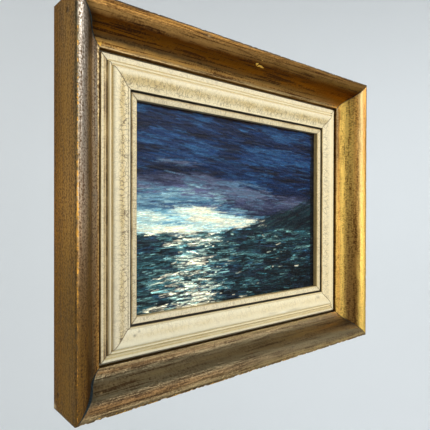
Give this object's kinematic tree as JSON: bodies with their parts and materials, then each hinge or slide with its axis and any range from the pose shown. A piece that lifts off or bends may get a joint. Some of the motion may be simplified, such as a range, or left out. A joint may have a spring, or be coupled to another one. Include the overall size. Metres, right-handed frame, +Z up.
{
  "type": "framed oil painting",
  "caption": "Small oil painting on board in a deep aged gilt scoop frame with a cream crackled liner and a narrow cream slip, made to hang on a wall.",
  "frame": {"origin": "middle of the back face of the gilt frame's top rail, where the frame hangs on the wall", "axes": "+X to the right seen from the front, +Y into the wall, +Z up"},
  "size_m": [0.45, 0.0508, 0.375],
  "materials": {
    "gilding": "aged metallic gilding and bronze wash on wood, worn along the outer edge",
    "liner_paint": "cream paint on wood, tan toning in the grooves, fine crackle",
    "slip_paint": "cream paint on wood, fine cross cracks",
    "oil_paint": "oil paint laid on thickly with a knife, over hardboard"
  },
  "bodies": {
    "root": {"gilt_rail_top": "gilding", "gilt_rail_right": "gilding", "gilt_rail_bottom": "gilding", "gilt_rail_left": "gilding", "liner_rail_top": "liner_paint", "liner_rail_right": "liner_paint", "liner_rail_bottom": "liner_paint", "liner_rail_left": "liner_paint", "slip_rail_top": "slip_paint", "slip_rail_right": "slip_paint", "slip_rail_bottom": "slip_paint", "slip_rail_left": "slip_paint", "painted_board": "oil_paint"}
  },
  "joints": []
}
